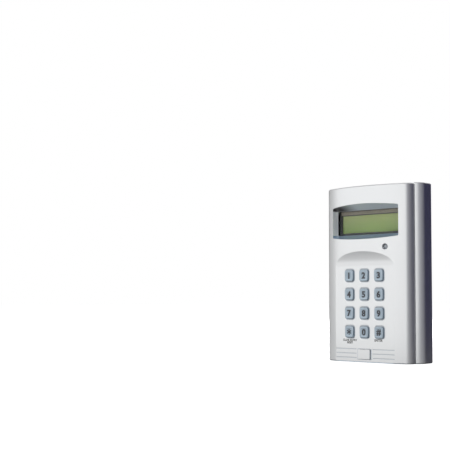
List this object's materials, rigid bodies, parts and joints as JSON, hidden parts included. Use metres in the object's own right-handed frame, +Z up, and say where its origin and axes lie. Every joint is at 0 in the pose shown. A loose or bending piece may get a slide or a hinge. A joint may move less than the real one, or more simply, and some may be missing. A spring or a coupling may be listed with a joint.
{
  "type": "queue control keypad terminal",
  "caption": "Upright two-shell counter terminal with a recessed character display, a scooped telephone-style keypad, a status lamp and a square push button.",
  "frame": {"origin": "centre of the underside that the case stands on", "axes": "+Z up, -Y out of the keypad front, +X to the user's right"},
  "size_m": [0.105, 0.0395, 0.165],
  "materials": {
    "case_plastic": "satin silver-white moulding",
    "key_plastic": "satin bluish silver caps with dark digits",
    "mat_rubber": "matt grey silicone",
    "circuit_board": "green solder resist",
    "plated_steel": "zinc plated",
    "window_acrylic": "clear, polished",
    "bezel_steel": "satin black",
    "display_glass": "yellow-green liquid crystal glass",
    "backlight_acrylic": "milky light guide",
    "lamp_epoxy": "clear lens",
    "black_plastic": "black moulding",
    "radio_shield": "tinned shield",
    "ribbon_plastic": "grey flat lead"
  },
  "bodies": {
    "housing": {"front_cover": "case_plastic", "rear_housing": "case_plastic", "key_mat": "mat_rubber", "main_board": "circuit_board", "board_screws": "plated_steel", "display_window": "window_acrylic", "display_bezel": "bezel_steel", "display_glass": "display_glass", "display_backlight": "backlight_acrylic", "display_board": "circuit_board", "display_screws": "plated_steel", "status_lamp": "lamp_epoxy", "lamp_spacer": "black_plastic", "buzzer": "black_plastic", "controller_chip": "black_plastic", "radio_module": "radio_shield", "display_ribbon": "ribbon_plastic", "ribbon_plug": "black_plastic", "power_jack": "black_plastic", "inlet_board": "circuit_board", "inlet_screws": "plated_steel", "case_screws": "plated_steel", "jack_pin": "plated_steel", "lamp_leads": "plated_steel", "inlet_lead": "ribbon_plastic", "inlet_plug": "black_plastic"},
    "key_1_cap": {"key_1": "key_plastic"},
    "key_2_cap": {"key_2": "key_plastic"},
    "key_3_cap": {"key_3": "key_plastic"},
    "key_4_cap": {"key_4": "key_plastic"},
    "key_5_cap": {"key_5": "key_plastic"},
    "key_6_cap": {"key_6": "key_plastic"},
    "key_7_cap": {"key_7": "key_plastic"},
    "key_8_cap": {"key_8": "key_plastic"},
    "key_9_cap": {"key_9": "key_plastic"},
    "key_star_cap": {"key_star": "key_plastic"},
    "key_0_cap": {"key_0": "key_plastic"},
    "key_hash_cap": {"key_hash": "key_plastic"},
    "square_button_cap": {"square_button": "case_plastic"}
  },
  "joints": [
    {"name": "key_1_press", "type": "slide", "parent": "housing", "child": "key_1_cap", "axis": [0, 1, 0], "range_m": [0, 0.0012], "stiffness_N_per_m": 300, "springref_m": -0.001, "deforming": ["key_mat"]},
    {"name": "key_2_press", "type": "slide", "parent": "housing", "child": "key_2_cap", "axis": [0, 1, 0], "range_m": [0, 0.0012], "stiffness_N_per_m": 300, "springref_m": -0.001, "deforming": ["key_mat"]},
    {"name": "key_3_press", "type": "slide", "parent": "housing", "child": "key_3_cap", "axis": [0, 1, 0], "range_m": [0, 0.0012], "stiffness_N_per_m": 300, "springref_m": -0.001, "deforming": ["key_mat"]},
    {"name": "key_4_press", "type": "slide", "parent": "housing", "child": "key_4_cap", "axis": [0, 1, 0], "range_m": [0, 0.0012], "stiffness_N_per_m": 300, "springref_m": -0.001, "deforming": ["key_mat"]},
    {"name": "key_5_press", "type": "slide", "parent": "housing", "child": "key_5_cap", "axis": [0, 1, 0], "range_m": [0, 0.0012], "stiffness_N_per_m": 300, "springref_m": -0.001, "deforming": ["key_mat"]},
    {"name": "key_6_press", "type": "slide", "parent": "housing", "child": "key_6_cap", "axis": [0, 1, 0], "range_m": [0, 0.0012], "stiffness_N_per_m": 300, "springref_m": -0.001, "deforming": ["key_mat"]},
    {"name": "key_7_press", "type": "slide", "parent": "housing", "child": "key_7_cap", "axis": [0, 1, 0], "range_m": [0, 0.0012], "stiffness_N_per_m": 300, "springref_m": -0.001, "deforming": ["key_mat"]},
    {"name": "key_8_press", "type": "slide", "parent": "housing", "child": "key_8_cap", "axis": [0, 1, 0], "range_m": [0, 0.0012], "stiffness_N_per_m": 300, "springref_m": -0.001, "deforming": ["key_mat"]},
    {"name": "key_9_press", "type": "slide", "parent": "housing", "child": "key_9_cap", "axis": [0, 1, 0], "range_m": [0, 0.0012], "stiffness_N_per_m": 300, "springref_m": -0.001, "deforming": ["key_mat"]},
    {"name": "key_star_press", "type": "slide", "parent": "housing", "child": "key_star_cap", "axis": [0, 1, 0], "range_m": [0, 0.0012], "stiffness_N_per_m": 300, "springref_m": -0.001, "deforming": ["key_mat"]},
    {"name": "key_0_press", "type": "slide", "parent": "housing", "child": "key_0_cap", "axis": [0, 1, 0], "range_m": [0, 0.0012], "stiffness_N_per_m": 300, "springref_m": -0.001, "deforming": ["key_mat"]},
    {"name": "key_hash_press", "type": "slide", "parent": "housing", "child": "key_hash_cap", "axis": [0, 1, 0], "range_m": [0, 0.0012], "stiffness_N_per_m": 300, "springref_m": -0.001, "deforming": ["key_mat"]},
    {"name": "square_button_press", "type": "slide", "parent": "housing", "child": "square_button_cap", "axis": [0, 1, 0], "range_m": [0, 0.001], "stiffness_N_per_m": 300, "springref_m": -0.001, "deforming": ["key_mat"]}
  ]
}
